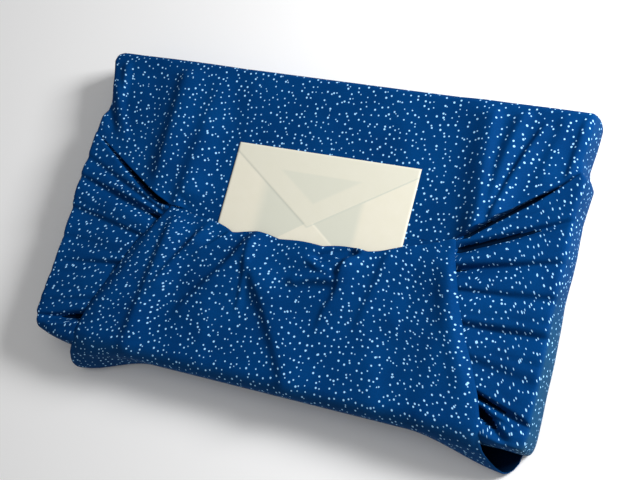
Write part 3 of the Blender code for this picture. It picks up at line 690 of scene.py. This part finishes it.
# %% The flap as a strip of rows
def flap_middle(shares):
    """The middle of the flap's cloth: (rows, columns, 3), from its root to its hem."""
    rows = []
    for level in FLAP_LEVELS:
        x = level.left_x + (level.right_x - level.left_x) * shares
        rows.append([x, FLAP_TURN_Y - level.out - level.share * flare(x), np.full_like(x, level.z)])
    top, low = FLAP_SIDES[0], FLAP_TURN_LEVEL
    for angle in np.linspace(np.pi / 2.0, 0.0, 13)[:-1]:
        down = 1.0 - np.cos(angle)
        left = top.left_x + (low.left_x - top.left_x) * down
        right = top.right_x + (low.right_x - top.right_x) * down
        x = left + (right - left) * shares
        y = FLAP_TURN_Y - FLAP_TURN_REACH * np.sin(angle) - low.share * down * flare(x)
        rows.append([x, y, flap_height(x, np.full_like(x, FLAP_TURN_Y)) - FLAP_TURN_DROP * down])
    for share in np.linspace(0.0, 1.0, 64):
        left = read_off(top.y + share * (LEFT_KNOT.y - top.y), FLAP_SIDES, "y", "left_x")
        right = read_off(top.y + share * (RIGHT_KNOT.y - top.y), FLAP_SIDES, "y", "right_x")
        x = left + (right - left) * shares
        y = top.y + share * (hem_line(x) - top.y)
        rows.append([x, y, flap_height(x, y)])
    return np.array(rows).transpose(0, 2, 1)


# %% The flap's thickness
def flap_shell():
    """The flap as a closed sheet: its middle moved along its normal both ways, with a rounded edge
    between."""
    middle = flap_middle(np.linspace(0.0, 1.0, 170))
    normal = np.cross(np.gradient(middle, axis=1), np.gradient(middle, axis=0))
    normal = normal / np.linalg.norm(normal, axis=2, keepdims=True)
    index = np.arange(middle.shape[0] * middle.shape[1]).reshape(middle.shape[:2])
    loop = loop_of(index)
    rim, flat_normal = middle.reshape(-1, 3)[loop], normal.reshape(-1, 3)[loop]
    along = np.roll(rim, -1, axis=0) - np.roll(rim, 1, axis=0)
    outward = np.cross(along, flat_normal)
    outward = outward / np.linalg.norm(outward, axis=1, keepdims=True)
    half = FLAP_THICKNESS / 2.0
    outer, inner = (middle + normal * half).reshape(-1, 3), (middle - normal * half).reshape(-1, 3)
    round_edge = rim + outward * half * 0.8
    steps = np.linalg.norm(np.diff(middle, axis=0, prepend=middle[:1]), axis=2).cumsum(axis=0)
    uv = np.stack([middle[:, :, 0] + 700.0, steps + 300.0], axis=2).reshape(-1, 2)
    count, size = index.size, loop.size
    edge = 2 * count + np.arange(size)
    faces = [grid_faces(index), grid_faces(index + count)[:, ::-1]]
    faces += [band_faces(loop, edge), band_faces(edge, loop + count)]
    # Painted sheen: the flap's turn at the near edge is greyed
    stretch = 0.25 * smooth(-middle[:, :, 1], 123.0, 131.0).ravel()
    points = np.concatenate([outer, inner, round_edge])
    uv, stretch = (np.concatenate([part, part, part[loop]]) for part in (uv, stretch))
    # The flap's inner side takes the near-black material: painted shade in its open corners
    return Shell(points, faces, uv, (1,), stretch)


flap = flap_shell()
print("front flap", len(flap.points), "points")

# %% [markdown]
# ## One piece of cloth
#
# The three shells become one mesh, because the real wrap is one cloth. They could be three objects, but
# then each would need its own thickness and its own place in the list of pieces. The cloth coordinates go
# with the mesh as its UV map, so that a print can follow them.

# %% From shells to a mesh
def mesh_from(name, shells):
    """Joins shells into one smooth mesh, in metres, with their own cloth coordinates as its UV map, in
    metres. Faces of the cloth's wrong side, and the faces deep in the slits, take the second material:
    painted shade. The stretch attribute carries painted sheen."""
    points, polygons, uv, slots, start = [], [], [], [], 0
    for shell in shells:
        points.append(shell.points)
        uv.append(shell.uv)
        polygons += [part + start for part in shell.faces]
        slots += [np.full(len(part), number in shell.wrong) for number, part in enumerate(shell.faces)]
        start += len(shell.points)
    points, uv = np.concatenate(points) * MM, np.concatenate(uv) * MM
    mesh = bpy.data.meshes.new(name)
    mesh.from_pydata(points.tolist(), [], [face for part in polygons for face in part.tolist()])
    corners = np.concatenate([part.ravel() for part in polygons])
    layer = mesh.uv_layers.new(name="cloth_uv")
    layer.data.foreach_set("uv", uv[corners].astype(np.float32).ravel())
    # The stretch attribute carries painted sheen
    stretch = mesh.attributes.new("stretch", "FLOAT", "POINT")
    painted_sheen = np.concatenate([shell.stretch for shell in shells])
    stretch.data.foreach_set("value", painted_sheen.astype(np.float32))
    mesh.polygons.foreach_set("material_index", np.concatenate(slots).astype(np.int32))
    mesh.shade_smooth()
    thing = bpy.data.objects.new(name, mesh)
    bpy.context.scene.collection.objects.link(thing)
    return thing


# %% The cloth
cloth = mesh_from("furoshiki_cloth", [outside, inside, flap])
cloth_triangles = sum(len(face.vertices) - 2 for face in cloth.data.polygons)
print("furoshiki cloth", cloth_triangles, "triangles")
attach(cloth, "root")
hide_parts("wrap_cloth")

# %% [markdown]
# ## The envelope
#
# A paper envelope of the common size, its closed flap towards the viewer. It could be a plain block with
# lines drawn on it, but the paper's own layers are what shows: the flap's slanting edges, the side flaps
# under it, and the greyer patches where there is one layer fewer. The height and the tone are both
# functions of x and y on one grid. Two thin lines are painted into the tone as well: a painted shadow
# along the closing flap's slanting edges, and a painted highlight along the bottom flap's edge on the
# right.

# %% Layers of paper
PAPER_TIP = (7.5, 0.4)


def below_line(x, y, start, end):
    """The signed distance from a line through two points, positive on its right side as it runs."""
    run_x, run_y = end[0] - start[0], end[1] - start[1]
    return ((x - start[0]) * -run_y + (y - start[1]) * run_x) / -np.hypot(run_x, run_y)


def lid_distance(x, y):
    """How far inside the closing flap a point lies: above both lines from the upper corners to the
    tip."""
    left = -below_line(x, y, (paper_low[0], paper_high[1] - 7.0), PAPER_TIP)
    right = -below_line(x, y, PAPER_TIP, (paper_high[0], paper_high[1] - 7.0))
    return np.minimum(left, right)


def bottom_distance(x, y):
    """How far inside the bottom flap a point lies: below 5.5 - 0.72 * |x - 9|, an upside-down V."""
    return (5.5 - 0.72 * np.abs(x - 9.0) - y) * 0.81


def paper_layers_and_painted_edges(x, y):
    """1 where layers of paper lie together, and down to 0 where one thin layer covers the hollow inside:
    in the middle of the closing flap, inside its band of gum, and beside the bottom flap. A painted shadow
    darkens a thin line along the closing flap's slanting edges, stronger on the right, and a painted
    highlight lightens a thin line along the bottom flap's edge on the right."""
    lid, bottom = lid_distance(x, y), bottom_distance(x, y)
    middle = smooth(lid, 14.5, 17.5) * smooth(44.0 - y, -0.8, 0.8)
    outside_both = smooth(-lid, -0.3, 0.3) * smooth(-bottom, -0.3, 0.3)
    beside = outside_both * smooth(x, -45.0, -31.0) * smooth(-x, -53.0, -46.0)
    # Painted shadow: a thin dark line along the closing flap's slanting edges, stronger on the right half
    lid_edge_painted_shadow = bell(lid + 0.35, 0.4) * (1.0 + 0.8 * smooth(x, 9.0, 20.0))
    # Painted highlight: a thin light line along the bottom flap's edge on the right
    bottom_edge_painted_highlight = 0.8 * bell(bottom, 0.7) * smooth(x, 9.0, 14.0)
    on_lid = 0.3 * smooth(lid, -0.3, 0.3) * (1.0 - middle)
    return 1.0 - 0.7 * middle - 0.8 * beside - on_lid - lid_edge_painted_shadow + bottom_edge_painted_highlight


# %% The envelope's form
PAPER_BASE, BOTTOM_STEP, LID_STEP, RIM_DROP, RIM_WIDTH = 0.82, 0.12, 0.2, 0.5, 1.2


def envelope_shell():
    """The front as a fine grid that steps up at the closing flap and the bottom flap, a rounded rim, and
    a flat back."""
    x = np.linspace(paper_low[0], paper_high[0], 220)
    y = np.linspace(paper_low[1], paper_high[1], 160)
    grid_x, grid_y = np.meshgrid(x, y)
    edge = np.minimum.reduce([grid_x - x[0], x[-1] - grid_x, grid_y - y[0], y[-1] - grid_y])
    low = paper_low[2]
    lid, bottom = lid_distance(grid_x, grid_y), bottom_distance(grid_x, grid_y)
    on_bottom = smooth(bottom, -0.4, 0.4) * smooth(-lid, -0.3, 0.3)
    z = low + PAPER_BASE + BOTTOM_STEP * on_bottom + LID_STEP * smooth(lid, -0.4, 0.4)
    z = z - RIM_DROP * (1.0 - np.sqrt(np.clip(edge / RIM_WIDTH, 0.0, 1.0)))
    index = np.arange(z.size).reshape(z.shape)
    front = np.stack([grid_x, grid_y, z], axis=2).reshape(-1, 3)
    back = front.copy()
    back[:, 2] = low
    loop = loop_of(index)
    faces = [grid_faces(index), grid_faces(index + z.size)[:, ::-1], band_faces(loop, loop + z.size)]
    points = np.concatenate([front, back])
    return Shell(points, faces, points[:, :2], (), np.zeros(len(points)))


envelope = mesh_from("card_envelope_paper", [envelope_shell()])
layers = envelope.data.attributes.new("layers", "FLOAT", "POINT")
places = np.array([point.co[:2] for point in envelope.data.vertices]) / MM
layers.data.foreach_set("value", paper_layers_and_painted_edges(places[:, 0], places[:, 1]).astype(np.float32))
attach(envelope, "root")
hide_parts("card_envelope")
paper_triangles = sum(len(face.vertices) - 2 for face in envelope.data.polygons)
print("envelope", paper_triangles, "triangles")

# %% [markdown]
# ## Materials
#
# A finish could be a picture wrapped round the mesh. Here each one is a small network of nodes instead,
# so its pattern has real sizes in millimetres and follows the surface. Each material starts from what the
# real one is and how its surface was made. Its colours are sRGB hex values, and one function turns them
# linear.

# %% Helpers for materials
def linear(code):
    """An sRGB hex colour as the linear red, green, blue and alpha that a shader takes."""
    channels = np.array([int(code[k:k + 2], 16) / 255.0 for k in (1, 3, 5)])
    value = np.where(channels <= 0.04045, channels / 12.92, ((channels + 0.055) / 1.055) ** 2.4)
    return (*value.tolist(), 1.0)


def add(tree, kind, links=None, values=None, **settings):
    """Adds a node, sets its own settings and its sockets' values, and links outputs of other nodes to its
    sockets."""
    made = tree.nodes.new(kind)
    for name, value in settings.items():
        setattr(made, name, value)
    for socket, value in (values or {}).items():
        made.inputs[socket].default_value = value
    for socket, output in (links or {}).items():
        tree.links.new(output, made.inputs[socket])
    return made


def new_material(name):
    """A material with a Principled shader, and that shader."""
    material = bpy.data.materials.new(name)
    material.use_nodes = True
    return material, material.node_tree, material.node_tree.nodes["Principled BSDF"]


# %% [markdown]
# ## Printed stretch jersey
#
# The cloth is a fine knitted polyester jersey, dyed blue and printed with pale dots 0.8 to 1.7 mm across.
# The dots could be thousands of small discs. A Voronoi pattern does the same job: it has one dot for each
# cell, and its cells are 5.7 mm wide, because there are about 30 dots to 10 square centimetres. It reads
# the cloth's own UV map, which is in metres of cloth, so the print follows every fold.

# %% The printed dots
DOT_PITCH = 0.0057
DOT_RADIUS = (0.00042, 0.00086)
DOT_EDGE = 0.00012


def printed_dots(tree, where):
    """1 on a dot and 0 beside it: the distance from the cell's point, less a radius drawn for that
    cell."""
    scaled = add(tree, "ShaderNodeVectorMath", {0: where}, {1: (1.0 / DOT_PITCH,) * 3},
                 operation="MULTIPLY")
    cells = add(tree, "ShaderNodeTexVoronoi", {"Vector": scaled.outputs[0]},
                {"Scale": 1.0, "Randomness": 1.0}, voronoi_dimensions="2D", feature="F1",
                distance="EUCLIDEAN")
    random = add(tree, "ShaderNodeSeparateColor", {0: cells.outputs["Color"]})
    radius = add(tree, "ShaderNodeMapRange", {"Value": random.outputs[0]},
                 {"To Min": DOT_RADIUS[0] / DOT_PITCH, "To Max": DOT_RADIUS[1] / DOT_PITCH})
    past = add(tree, "ShaderNodeMath", {0: cells.outputs["Distance"], 1: radius.outputs[0]},
               operation="SUBTRACT")
    dots = add(tree, "ShaderNodeMapRange", {"Value": past.outputs[0]},
               {"From Min": DOT_EDGE / DOT_PITCH, "From Max": -DOT_EDGE / DOT_PITCH}, clamp=True)
    return dots.outputs[0]


# %% [markdown]
# The blue ground isn't even. It varies in soft patches about 45 mm wide, as dyed knit does, and its loops
# give it a grain. Real loops are about 0.4 mm wide, which is too fine for a picture of the whole parcel,
# so the grain is drawn 1.1 mm coarse. On the walls, most on the right end's near half, and on the flap's
# turn at the near edge, a greyer tone is painted sheen: the pale light that glances off the fibres there.
# The mesh carries it as an attribute called stretch.

# %% The blue ground
PATCHES_PER_METRE, GRAINS_PER_METRE = 22.0, 900.0


def knit_ground(tree, where):
    """Two blues mixed by soft noise, darkened by a fine grain, and greyed by painted sheen where the
    stretch attribute is high. Gives the colour and the grain."""
    cloudy = add(tree, "ShaderNodeTexNoise", {"Vector": where}, {"Scale": PATCHES_PER_METRE, "Detail": 3.0})
    grain = add(tree, "ShaderNodeTexNoise", {"Vector": where}, {"Scale": GRAINS_PER_METRE, "Detail": 2.0})
    tone = add(tree, "ShaderNodeMix", {"Factor": cloudy.outputs["Fac"]},
               {"A": linear("#012f66"), "B": linear("#034a8c")}, data_type="RGBA")
    mottled = add(tree, "ShaderNodeMix", {"Factor": grain.outputs["Fac"], "A": tone.outputs["Result"]},
                  {"B": linear("#c4c4c4")}, data_type="RGBA", blend_type="MULTIPLY")
    # Painted sheen: where the stretch attribute is high, the blue is mixed towards a greyer teal, #28525f
    painted_sheen = add(tree, "ShaderNodeAttribute", attribute_name="stretch")
    share = add(tree, "ShaderNodeMath", {0: painted_sheen.outputs["Fac"]}, {1: 0.45}, operation="MULTIPLY")
    ground = add(tree, "ShaderNodeMix", {"Factor": share.outputs[0], "A": mottled.outputs["Result"]},
                 {"B": linear("#28525f")}, data_type="RGBA")
    return ground.outputs["Result"], grain.outputs["Fac"]


# %% [markdown]
# Jersey is matt: its loops scatter the light. So its roughness is high and its specular level is low, and
# a little sheen stands for the fibres' own faint shine at a grazing angle.

# %% The jersey
def jersey():
    """Knitted polyester jersey, dyed and printed: to the eye it is matt, lively in tone and nowhere
    glossy."""
    material, tree, shader = new_material("printed stretch jersey")
    where = add(tree, "ShaderNodeUVMap", uv_map="cloth_uv").outputs["UV"]
    ground, grain = knit_ground(tree, where)
    printed = add(tree, "ShaderNodeMix", {"Factor": printed_dots(tree, where), "A": ground},
                  {"B": linear("#9fd6ff")}, data_type="RGBA")
    tree.links.new(printed.outputs["Result"], shader.inputs["Base Color"])
    bump = add(tree, "ShaderNodeBump", {"Height": grain}, {"Strength": 0.25, "Distance": 0.0004})
    tree.links.new(bump.outputs["Normal"], shader.inputs["Normal"])
    shader.inputs["Roughness"].default_value = 0.72
    shader.inputs["Specular IOR Level"].default_value = 0.02
    shader.inputs["Sheen Weight"].default_value = 0.03
    shader.inputs["Sheen Roughness"].default_value = 0.25
    shader.inputs["Sheen Tint"].default_value = linear("#6fa8d0")
    return material


cloth.data.materials.append(jersey())
print(cloth.data.materials[0].name, "on", cloth.name)

# %% [markdown]
# ## The jersey's wrong side and painted shade
#
# The cloth is printed on one side only, so its wrong side is plain. An almost black, unprinted material is
# painted shade: it goes on the front flap's inner side, which shows in its open corners, and on the sides
# of the slits between the folds, where little light falls, though there the printed side is what really
# lies. It could be a mesh of its own, but a second material slot on the same mesh keeps the cloth one
# piece.

# %% The jersey's wrong side and painted shade
def wrong_side_and_painted_shade():
    """Knitted polyester jersey from behind, plain and matt, but almost black: painted shade for the
    flap's open corners and the slits."""
    material, _, shader = new_material("jersey wrong side and painted shade")
    # Almost black: painted shade
    shader.inputs["Base Color"].default_value = linear("#01142c")
    shader.inputs["Roughness"].default_value = 0.95
    shader.inputs["Specular IOR Level"].default_value = 0.02
    return material


cloth.data.materials.append(wrong_side_and_painted_shade())
print(cloth.data.materials[1].name, "on", cloth.name)

# %% [markdown]
# ## Uncoated wove paper
#
# The envelope is cream wove paper of about 100 grams. It is uncoated and was pressed smooth while wet, so
# it is matt, with a faint cloudiness about 11 mm wide where its fibres lie thicker. Where one layer
# covers the hollow inside, it looks greyer. The layers could be sheets a tenth of a millimetre apart, but
# it is the tone that shows, so the layers attribute mixes two colours. The same attribute also carries a
# painted shadow along the closing flap's slanting edges and a painted highlight along the bottom flap's
# edge.

# %% The envelope's paper
CLOUDS_PER_METRE = 90.0


def wove_paper():
    """Uncoated cream paper: to the eye it is matt and even, and greyer where there is only one layer. Its
    tone also holds a painted shadow and a painted highlight along the flaps' edges.
    """
    material, tree, shader = new_material("cream wove paper")
    where = add(tree, "ShaderNodeUVMap", uv_map="cloth_uv").outputs["UV"]
    cloudy = add(tree, "ShaderNodeTexNoise", {"Vector": where}, {"Scale": CLOUDS_PER_METRE, "Detail": 4.0})
    tone = add(tree, "ShaderNodeMix", {"Factor": cloudy.outputs["Fac"]},
               {"A": linear("#ddd9c6"), "B": linear("#e3dfcf")}, data_type="RGBA")
    # The layers attribute greys the paper for one layer over the hollow and for the painted shadow along
    # the closing flap's edges; the painted highlight lifts it back
    layers = add(tree, "ShaderNodeAttribute", attribute_name="layers")
    shown = add(tree, "ShaderNodeMix", {"Factor": layers.outputs["Fac"], "B": tone.outputs["Result"]},
                {"A": linear("#cccec0")}, data_type="RGBA")
    tree.links.new(shown.outputs["Result"], shader.inputs["Base Color"])
    shader.inputs["Roughness"].default_value = 0.8
    shader.inputs["Specular IOR Level"].default_value = 0.3
    return material


envelope.data.materials.append(wove_paper())
print(envelope.data.materials[0].name, "on", envelope.name)

# %% [markdown]
# ## The floor
#
# The parcel rests on a plain pale floor, which only has to take its soft shadow. One large square does
# that. It lies 0.4 mm lower than the underside, so the two faces don't flicker through one another.

# %% Floor
FLOOR_HALF, FLOOR_Z = 3.0, -0.0004
floor_corners = [(FLOOR_HALF * x, FLOOR_HALF * y, FLOOR_Z) for x, y in ((-1, -1), (1, -1), (1, 1), (-1, 1))]
floor_mesh = bpy.data.meshes.new("floor")
floor_mesh.from_pydata(floor_corners, [], [(0, 1, 2, 3)])
floor = bpy.data.objects.new("floor", floor_mesh)
bpy.context.scene.collection.objects.link(floor)
floor_material, _, floor_shader = new_material("plain pale floor")
floor_shader.inputs["Base Color"].default_value = linear("#fafafa")
floor_shader.inputs["Roughness"].default_value = 0.9
floor.data.materials.append(floor_material)
print("floor", 2 * FLOOR_HALF, "m square")

# %% [markdown]
# ## The light
#
# Folds show only where light comes from one side. A soft box stands beyond the right end and a little
# behind it, low enough for every fold to have a dark side. A sun lamp would be simpler, but it lights
# both ends alike, and here the far end is a little darker. A wide, weak soft box overhead and a pale
# world keep the shadows open.

# %% Light
world = bpy.data.worlds.new("studio")
world.use_nodes = True
world.node_tree.nodes["Background"].inputs["Color"].default_value = linear("#ffffff")
world.node_tree.nodes["Background"].inputs["Strength"].default_value = 0.27
bpy.context.scene.world = world


def area_light(name, place, target, size, power):
    """A square soft box at a place, looking at a target."""
    data = bpy.data.lights.new(name, "AREA")
    data.size = size
    data.energy = power
    lamp = bpy.data.objects.new(name, data)
    lamp.location = place
    lamp.rotation_euler = (Vector(target) - Vector(place)).to_track_quat("-Z", "Y").to_euler()
    bpy.context.scene.collection.objects.link(lamp)
    return lamp


area_light("key", (0.86, 0.47, 0.6), (0.0, 0.0, 0.02), 0.34, 17.4)
area_light("overhead", (0.1, 0.2, 1.5), (0.0, 0.0, 0.02), 1.2, 3.0)

# %% [markdown]
# ## The camera
#
# The camera looks down from the near right, turned a little in its own picture. It could be aimed by
# hand, but its place, its line of sight and its right-hand direction were worked out together, from where
# the parcel's and the envelope's corners fall in the picture. The three directions make the columns of
# its matrix.

# %% Camera
CAMERA_PLACE = Vector((0.3783, -0.1610, 0.8375))
CAMERA_LOOKS = Vector((-0.40079, 0.17192, -0.89990))
CAMERA_RIGHT = Vector((0.90080, 0.25310, -0.35284))
camera_data = bpy.data.cameras.new("camera")
camera_data.lens = 63.06
camera_data.sensor_width = 36.0
camera = bpy.data.objects.new("camera", camera_data)
up = CAMERA_RIGHT.cross(CAMERA_LOOKS).normalized()
turn = Matrix((CAMERA_RIGHT, up, -CAMERA_LOOKS)).transposed()
camera.matrix_world = Matrix.Translation(CAMERA_PLACE) @ turn.to_4x4()
bpy.context.scene.collection.objects.link(camera)
bpy.context.scene.camera = camera
bpy.context.scene.view_settings.view_transform = "Standard"
print("camera", round((CAMERA_PLACE.length) / MM), "mm from the middle of the underside")
